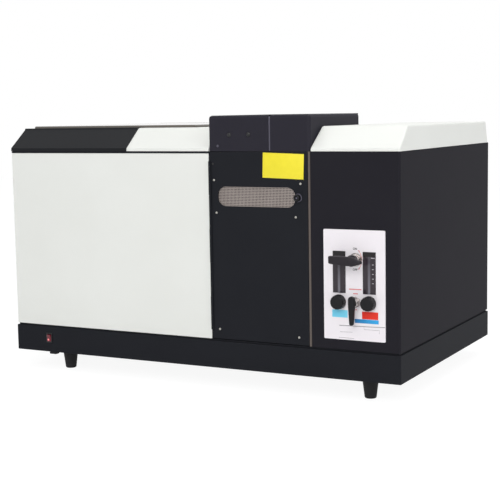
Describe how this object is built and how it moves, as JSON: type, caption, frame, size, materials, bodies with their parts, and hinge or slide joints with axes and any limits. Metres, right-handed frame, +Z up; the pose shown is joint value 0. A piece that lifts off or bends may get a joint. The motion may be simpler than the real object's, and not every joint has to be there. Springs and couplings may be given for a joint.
{
  "type": "flame atomic absorption spectrometer",
  "caption": "Bench-top flame atomic absorption spectrometer with a burner bay behind a windowed door, gas control panel, lamp turret and working valves, door, lids and burner lift.",
  "frame": {"origin": "on the table, under the middle of the instrument's outline in plan", "axes": "+X to the right along the front, +Y from the front to the back, +Z up; the instrument faces -Y"},
  "size_m": [0.9, 0.6194, 0.5473],
  "materials": {
    "white_powder_coat": "smooth white powder coat",
    "black_powder_coat": "fine-textured black powder coat",
    "brown_grey_paint": "satin paint",
    "black_plastic": "moulded black plastic",
    "red_switch_plastic": "translucent red plastic",
    "foot_rubber": "moulded rubber",
    "beige_metal": "satin beige-brown",
    "zinc_plate": "zinc-plated",
    "aluminium": "machined or cast",
    "stainless_steel": "bare stainless steel",
    "brass": "machined brass",
    "smoked_acrylic": "smoked clear acrylic",
    "printed_panel": "printed plastic overlay",
    "lamp_glass": "clear glass",
    "grey_polymer": "inert grey polymer",
    "circuit_board": "green solder mask"
  },
  "bodies": {
    "casing": {"optics_front_panel": "white_powder_coat", "optics_lid": "white_powder_coat", "gas_lid": "white_powder_coat", "base_tray": "black_powder_coat", "deck_plate": "black_powder_coat", "optics_left_panel": "black_powder_coat", "burner_left_wall": "black_powder_coat", "burner_right_wall": "black_powder_coat", "burner_rear_wall": "black_powder_coat", "hood_left_cover": "black_powder_coat", "hood_right_cover": "black_powder_coat", "door_hinge": "black_powder_coat", "gas_case": "black_powder_coat", "rear_panel": "black_powder_coat", "background_lamp": "black_powder_coat", "switch_bezel": "black_plastic", "lid_fascia": "black_plastic", "fan_frame": "black_plastic", "mains_inlet": "black_plastic", "foot_front_left": "foot_rubber", "foot_front_right": "foot_rubber", "foot_rear_left": "foot_rubber", "foot_rear_right": "foot_rubber", "edge_strip": "beige_metal", "lamp_lid_hinge": "zinc_plate", "gas_valve_block": "aluminium", "lens_tube": "aluminium", "turret_stand": "aluminium", "burner_guide": "aluminium", "monochromator": "aluminium", "power_supply": "aluminium", "drip_tray": "stainless_steel", "gas_inlets": "brass", "flowmeter_left": "smoked_acrylic", "flowmeter_right": "smoked_acrylic", "control_panel": "printed_panel", "beam_window": "lamp_glass", "main_board": "circuit_board"},
    "power_rocker": {"power_rocker": "red_switch_plastic"},
    "door": {"door_panel": "black_powder_coat", "door_screen": "zinc_plate"},
    "latch": {"door_knob": "black_plastic"},
    "lamp_lid": {"lamp_lid": "brown_grey_paint"},
    "fuel_valve": {"fuel_valve_lever": "black_plastic"},
    "air_valve": {"air_valve_lever": "black_plastic"},
    "flow_knob_left": {"flow_knob_left": "black_plastic"},
    "flow_knob_right": {"flow_knob_right": "black_plastic"},
    "float_left": {"meter_float_left": "stainless_steel"},
    "float_right": {"meter_float_right": "stainless_steel"},
    "turret": {"lamp_turret": "aluminium", "hollow_cathode_lamp_1": "lamp_glass", "hollow_cathode_lamp_2": "lamp_glass", "hollow_cathode_lamp_3": "lamp_glass", "hollow_cathode_lamp_4": "lamp_glass"},
    "fan": {"fan_rotor": "black_plastic"},
    "burner": {"burner_head": "stainless_steel", "spray_chamber": "grey_polymer", "nebuliser": "brass", "burner_carriage": "aluminium"},
    "lift": {"lift_knob": "black_plastic"}
  },
  "joints": [
    {"name": "power_switch", "type": "hinge", "parent": "casing", "child": "power_rocker", "pos_m": [-0.3625, -0.27475, 0.0715], "axis": [-1, 0, 0], "range_deg": [0, 16]},
    {"name": "door_hinge", "type": "hinge", "parent": "casing", "child": "door", "pos_m": [0.0474, -0.27495, 0.28815], "axis": [0, 0, -1], "range_deg": [0, 110]},
    {"name": "door_latch", "type": "hinge", "parent": "door", "child": "latch", "pos_m": [0.2407, -0.27325, 0.3878], "axis": [0, -1, 0], "range_deg": [0, 90]},
    {"name": "lamp_lid_hinge", "type": "hinge", "parent": "casing", "child": "lamp_lid", "pos_m": [-0.2235, 0.25575, 0.5269], "axis": [-1, 0, 0], "range_deg": [0, 100]},
    {"name": "fuel_valve_turn", "type": "hinge", "parent": "casing", "child": "fuel_valve", "pos_m": [0.35985, -0.27325, 0.2735], "axis": [0, 1, 0], "range_deg": [-45, 45]},
    {"name": "air_valve_turn", "type": "hinge", "parent": "casing", "child": "air_valve", "pos_m": [0.35985, -0.27325, 0.1925], "axis": [0, 1, 0], "range_deg": [0, 90]},
    {"name": "left_needle_turn", "type": "hinge", "parent": "casing", "child": "flow_knob_left", "pos_m": [0.32615, -0.27325, 0.1918], "axis": [0, 1, 0], "range_deg": [0, 720]},
    {"name": "right_needle_turn", "type": "hinge", "parent": "casing", "child": "flow_knob_right", "pos_m": [0.38755, -0.27325, 0.1918], "axis": [0, 1, 0], "range_deg": [0, 720]},
    {"name": "left_float_rise", "type": "slide", "parent": "casing", "child": "float_left", "axis": [0, 0, 1], "range_m": [0, 0.0519]},
    {"name": "right_float_rise", "type": "slide", "parent": "casing", "child": "float_right", "axis": [0, 0, 1], "range_m": [0, 0.0519]},
    {"name": "turret_turn", "type": "hinge", "parent": "casing", "child": "turret", "pos_m": [-0.3145, -0.15325, 0.3453], "axis": [1, 0, 0], "range_deg": [0, 270]},
    {"name": "fan_spin", "type": "hinge", "parent": "casing", "child": "fan", "pos_m": [0, 0.25675, 0.1838], "axis": [0, 1, 0], "continuous": true},
    {"name": "burner_height", "type": "slide", "parent": "casing", "child": "burner", "axis": [0, 0, 1], "range_m": [-0.012, 0.012]},
    {"name": "lift_turn", "type": "hinge", "parent": "casing", "child": "lift", "pos_m": [0.21832, -0.18925, 0.1858], "axis": [0, 1, 0], "range_deg": [-60, 60]}
  ],
  "couplings": [
    {"joint": "lift_turn", "follows": "burner_height", "rad_per_m": 83.333}
  ]
}
